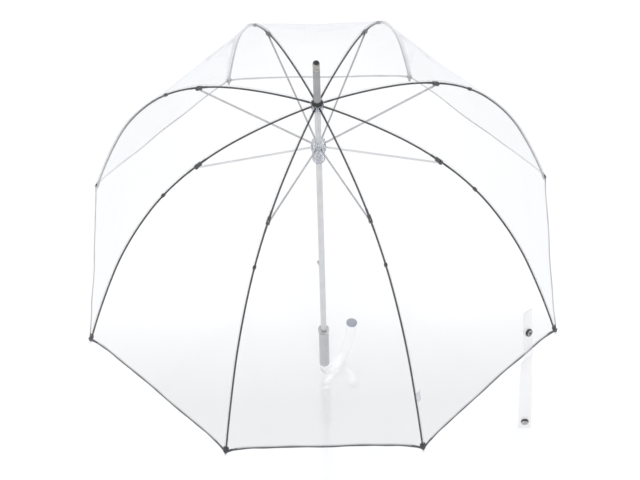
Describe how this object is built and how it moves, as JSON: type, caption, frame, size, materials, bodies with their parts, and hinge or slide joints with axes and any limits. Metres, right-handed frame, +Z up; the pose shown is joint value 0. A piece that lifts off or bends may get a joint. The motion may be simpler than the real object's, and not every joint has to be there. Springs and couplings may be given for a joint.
{
  "type": "umbrella",
  "caption": "Clear dome umbrella with a straight shaft, wire ribs and stretchers on a sliding runner, hanging closing strap and clear crook handle.",
  "frame": {"origin": "on the shaft axis at the level of the crook handle's lowest point, where the standing umbrella meets the floor", "axes": "+Z up the shaft towards the ferrule; -Y towards the picture's viewer; +X to the viewer's right"},
  "size_m": [0.7834, 0.7834, 0.8817],
  "materials": {
    "shaft_metal": "satin",
    "rib_wire": "satin",
    "dark_metal": "satin",
    "stretcher_metal": "satin",
    "bright_metal": "polished",
    "spring_steel": "satin",
    "snap_metal": "satin",
    "clear_plastic": "gloss, clear",
    "clear_acrylic": "gloss, clear",
    "clear_film": "gloss, clear",
    "grey_plastic": "gloss",
    "dark_plastic": "matte"
  },
  "bodies": {
    "shaft": {"shaft_tube": "shaft_metal", "shaft_foot_plug": "dark_plastic", "ferrule_sleeve": "shaft_metal", "ferrule_cap": "clear_plastic", "ferrule_plug": "dark_plastic", "crown_notch": "clear_plastic", "crown_wire": "rib_wire", "top_washer": "dark_plastic", "canopy": "clear_film", "handle_hook": "clear_acrylic", "handle_collar": "bright_metal", "handle_end_cap": "grey_plastic"},
    "runner": {"runner_body": "clear_plastic", "runner_wire": "rib_wire"},
    "bottom_catch": {"bottom_catch_spring": "spring_steel"},
    "top_catch": {"top_catch_spring": "spring_steel"},
    "rib_1_in": {"rib_1_inner": "rib_wire", "rib_1_bracket": "dark_metal"},
    "rib_1_out": {"rib_1_outer": "rib_wire", "rib_1_tip": "clear_plastic"},
    "strut_1": {"stretcher_1": "stretcher_metal"},
    "rib_2_in": {"rib_2_inner": "rib_wire", "rib_2_bracket": "dark_metal"},
    "rib_2_out": {"rib_2_outer": "rib_wire", "rib_2_tip": "clear_plastic"},
    "strut_2": {"stretcher_2": "stretcher_metal"},
    "rib_3_in": {"rib_3_inner": "rib_wire", "rib_3_bracket": "dark_metal"},
    "rib_3_out": {"rib_3_outer": "rib_wire", "rib_3_tip": "clear_plastic"},
    "strut_3": {"stretcher_3": "stretcher_metal"},
    "rib_4_in": {"rib_4_inner": "rib_wire", "rib_4_bracket": "dark_metal"},
    "rib_4_out": {"rib_4_outer": "rib_wire", "rib_4_tip": "clear_plastic"},
    "strut_4": {"stretcher_4": "stretcher_metal"},
    "rib_5_in": {"rib_5_inner": "rib_wire", "rib_5_bracket": "dark_metal"},
    "rib_5_out": {"rib_5_outer": "rib_wire", "rib_5_tip": "clear_plastic"},
    "strut_5": {"stretcher_5": "stretcher_metal"},
    "rib_6_in": {"rib_6_inner": "rib_wire", "rib_6_bracket": "dark_metal"},
    "rib_6_out": {"rib_6_outer": "rib_wire", "rib_6_tip": "clear_plastic"},
    "strut_6": {"stretcher_6": "stretcher_metal"},
    "rib_7_in": {"rib_7_inner": "rib_wire", "rib_7_bracket": "dark_metal"},
    "rib_7_out": {"rib_7_outer": "rib_wire", "rib_7_tip": "clear_plastic"},
    "strut_7": {"stretcher_7": "stretcher_metal"},
    "rib_8_in": {"rib_8_inner": "rib_wire", "rib_8_bracket": "dark_metal"},
    "rib_8_out": {"rib_8_outer": "rib_wire", "rib_8_tip": "clear_plastic"},
    "strut_8": {"stretcher_8": "stretcher_metal"},
    "strap_top": {"strap_base": "clear_film", "strap_stud": "snap_metal"},
    "strap_end": {"strap_tail": "clear_film", "strap_socket": "snap_metal"}
  },
  "joints": [
    {"name": "runner_slide", "type": "slide", "parent": "shaft", "child": "runner", "axis": [0, 0, -1], "range_m": [0, 0.30707], "deforming": ["canopy"]},
    {"name": "bottom_catch_press", "type": "slide", "parent": "shaft", "child": "bottom_catch", "axis": [1, 0, 0], "range_m": [0, 0.0034], "stiffness_N_per_m": 400},
    {"name": "top_catch_press", "type": "slide", "parent": "shaft", "child": "top_catch", "axis": [1, 0, 0], "range_m": [0, 0.0034], "stiffness_N_per_m": 400},
    {"name": "rib_1_fold", "type": "hinge", "parent": "shaft", "child": "rib_1_in", "pos_m": [0.00785, 0.00325, 0.7764], "axis": [-0.3827, 0.9239, 0], "range_deg": [0, 73.11]},
    {"name": "rib_1_flex", "type": "hinge", "parent": "rib_1_in", "child": "rib_1_out", "pos_m": [0.19532, 0.0809, 0.72576], "axis": [0.3827, -0.9239, 0], "range_deg": [0, 44.44]},
    {"name": "stretcher_1_fold", "type": "hinge", "parent": "rib_1_in", "child": "strut_1", "pos_m": [0.19367, 0.08022, 0.72263], "axis": [0.3827, -0.9239, 0], "range_deg": [0, 147.88]},
    {"name": "rib_2_fold", "type": "hinge", "parent": "shaft", "child": "rib_2_in", "pos_m": [0.00325, 0.00785, 0.7764], "axis": [-0.9239, 0.3827, 0], "range_deg": [0, 73.11]},
    {"name": "rib_2_flex", "type": "hinge", "parent": "rib_2_in", "child": "rib_2_out", "pos_m": [0.0809, 0.19532, 0.72576], "axis": [0.9239, -0.3827, 0], "range_deg": [0, 44.44]},
    {"name": "stretcher_2_fold", "type": "hinge", "parent": "rib_2_in", "child": "strut_2", "pos_m": [0.08022, 0.19367, 0.72263], "axis": [0.9239, -0.3827, 0], "range_deg": [0, 147.88]},
    {"name": "rib_3_fold", "type": "hinge", "parent": "shaft", "child": "rib_3_in", "pos_m": [-0.00325, 0.00785, 0.7764], "axis": [-0.9239, -0.3827, 0], "range_deg": [0, 73.11]},
    {"name": "rib_3_flex", "type": "hinge", "parent": "rib_3_in", "child": "rib_3_out", "pos_m": [-0.0809, 0.19532, 0.72576], "axis": [0.9239, 0.3827, 0], "range_deg": [0, 44.44]},
    {"name": "stretcher_3_fold", "type": "hinge", "parent": "rib_3_in", "child": "strut_3", "pos_m": [-0.08022, 0.19367, 0.72263], "axis": [0.9239, 0.3827, 0], "range_deg": [0, 147.88]},
    {"name": "rib_4_fold", "type": "hinge", "parent": "shaft", "child": "rib_4_in", "pos_m": [-0.00785, 0.00325, 0.7764], "axis": [-0.3827, -0.9239, 0], "range_deg": [0, 73.11]},
    {"name": "rib_4_flex", "type": "hinge", "parent": "rib_4_in", "child": "rib_4_out", "pos_m": [-0.19532, 0.0809, 0.72576], "axis": [0.3827, 0.9239, 0], "range_deg": [0, 44.44]},
    {"name": "stretcher_4_fold", "type": "hinge", "parent": "rib_4_in", "child": "strut_4", "pos_m": [-0.19367, 0.08022, 0.72263], "axis": [0.3827, 0.9239, 0], "range_deg": [0, 147.88]},
    {"name": "rib_5_fold", "type": "hinge", "parent": "shaft", "child": "rib_5_in", "pos_m": [-0.00785, -0.00325, 0.7764], "axis": [0.3827, -0.9239, 0], "range_deg": [0, 73.11]},
    {"name": "rib_5_flex", "type": "hinge", "parent": "rib_5_in", "child": "rib_5_out", "pos_m": [-0.19532, -0.0809, 0.72576], "axis": [-0.3827, 0.9239, 0], "range_deg": [0, 44.44]},
    {"name": "stretcher_5_fold", "type": "hinge", "parent": "rib_5_in", "child": "strut_5", "pos_m": [-0.19367, -0.08022, 0.72263], "axis": [-0.3827, 0.9239, 0], "range_deg": [0, 147.88]},
    {"name": "rib_6_fold", "type": "hinge", "parent": "shaft", "child": "rib_6_in", "pos_m": [-0.00325, -0.00785, 0.7764], "axis": [0.9239, -0.3827, 0], "range_deg": [0, 73.11]},
    {"name": "rib_6_flex", "type": "hinge", "parent": "rib_6_in", "child": "rib_6_out", "pos_m": [-0.0809, -0.19532, 0.72576], "axis": [-0.9239, 0.3827, 0], "range_deg": [0, 44.44]},
    {"name": "stretcher_6_fold", "type": "hinge", "parent": "rib_6_in", "child": "strut_6", "pos_m": [-0.08022, -0.19367, 0.72263], "axis": [-0.9239, 0.3827, 0], "range_deg": [0, 147.88]},
    {"name": "rib_7_fold", "type": "hinge", "parent": "shaft", "child": "rib_7_in", "pos_m": [0.00325, -0.00785, 0.7764], "axis": [0.9239, 0.3827, 0], "range_deg": [0, 73.11]},
    {"name": "rib_7_flex", "type": "hinge", "parent": "rib_7_in", "child": "rib_7_out", "pos_m": [0.0809, -0.19532, 0.72576], "axis": [-0.9239, -0.3827, 0], "range_deg": [0, 44.44]},
    {"name": "stretcher_7_fold", "type": "hinge", "parent": "rib_7_in", "child": "strut_7", "pos_m": [0.08022, -0.19367, 0.72263], "axis": [-0.9239, -0.3827, 0], "range_deg": [0, 147.88]},
    {"name": "rib_8_fold", "type": "hinge", "parent": "shaft", "child": "rib_8_in", "pos_m": [0.00785, -0.00325, 0.7764], "axis": [0.3827, 0.9239, 0], "range_deg": [0, 73.11]},
    {"name": "rib_8_flex", "type": "hinge", "parent": "rib_8_in", "child": "rib_8_out", "pos_m": [0.19532, -0.0809, 0.72576], "axis": [-0.3827, -0.9239, 0], "range_deg": [0, 44.44]},
    {"name": "stretcher_8_fold", "type": "hinge", "parent": "rib_8_in", "child": "strut_8", "pos_m": [0.19367, -0.08022, 0.72263], "axis": [-0.3827, -0.9239, 0], "range_deg": [0, 147.88]},
    {"name": "strap_gather", "type": "slide", "parent": "rib_8_out", "child": "strap_top", "axis": [0.7071, 0.7071, 0], "range_m": [0, 0.045]},
    {"name": "strap_swing", "type": "hinge", "parent": "strap_top", "child": "strap_end", "pos_m": [0.34182, -0.21454, 0.35793], "axis": [-0.3827, -0.9239, 0], "range_deg": [0, 88.67]}
  ],
  "couplings": [
    {"joint": "rib_1_fold", "follows": "runner_slide", "rad_per_m": 4.1553},
    {"joint": "rib_1_flex", "follows": "runner_slide", "rad_per_m": 2.5261},
    {"joint": "stretcher_1_fold", "follows": "runner_slide", "rad_per_m": 8.4053},
    {"joint": "rib_2_fold", "follows": "runner_slide", "rad_per_m": 4.1553},
    {"joint": "rib_2_flex", "follows": "runner_slide", "rad_per_m": 2.5261},
    {"joint": "stretcher_2_fold", "follows": "runner_slide", "rad_per_m": 8.4053},
    {"joint": "rib_3_fold", "follows": "runner_slide", "rad_per_m": 4.1553},
    {"joint": "rib_3_flex", "follows": "runner_slide", "rad_per_m": 2.5261},
    {"joint": "stretcher_3_fold", "follows": "runner_slide", "rad_per_m": 8.4053},
    {"joint": "rib_4_fold", "follows": "runner_slide", "rad_per_m": 4.1553},
    {"joint": "rib_4_flex", "follows": "runner_slide", "rad_per_m": 2.5261},
    {"joint": "stretcher_4_fold", "follows": "runner_slide", "rad_per_m": 8.4053},
    {"joint": "rib_5_fold", "follows": "runner_slide", "rad_per_m": 4.1553},
    {"joint": "rib_5_flex", "follows": "runner_slide", "rad_per_m": 2.5261},
    {"joint": "stretcher_5_fold", "follows": "runner_slide", "rad_per_m": 8.4053},
    {"joint": "rib_6_fold", "follows": "runner_slide", "rad_per_m": 4.1553},
    {"joint": "rib_6_flex", "follows": "runner_slide", "rad_per_m": 2.5261},
    {"joint": "stretcher_6_fold", "follows": "runner_slide", "rad_per_m": 8.4053},
    {"joint": "rib_7_fold", "follows": "runner_slide", "rad_per_m": 4.1553},
    {"joint": "rib_7_flex", "follows": "runner_slide", "rad_per_m": 2.5261},
    {"joint": "stretcher_7_fold", "follows": "runner_slide", "rad_per_m": 8.4053},
    {"joint": "rib_8_fold", "follows": "runner_slide", "rad_per_m": 4.1553},
    {"joint": "rib_8_flex", "follows": "runner_slide", "rad_per_m": 2.5261},
    {"joint": "stretcher_8_fold", "follows": "runner_slide", "rad_per_m": 8.4053},
    {"joint": "strap_gather", "follows": "runner_slide", "ratio": 0.14655},
    {"joint": "strap_swing", "follows": "runner_slide", "rad_per_m": 5.0396}
  ]
}
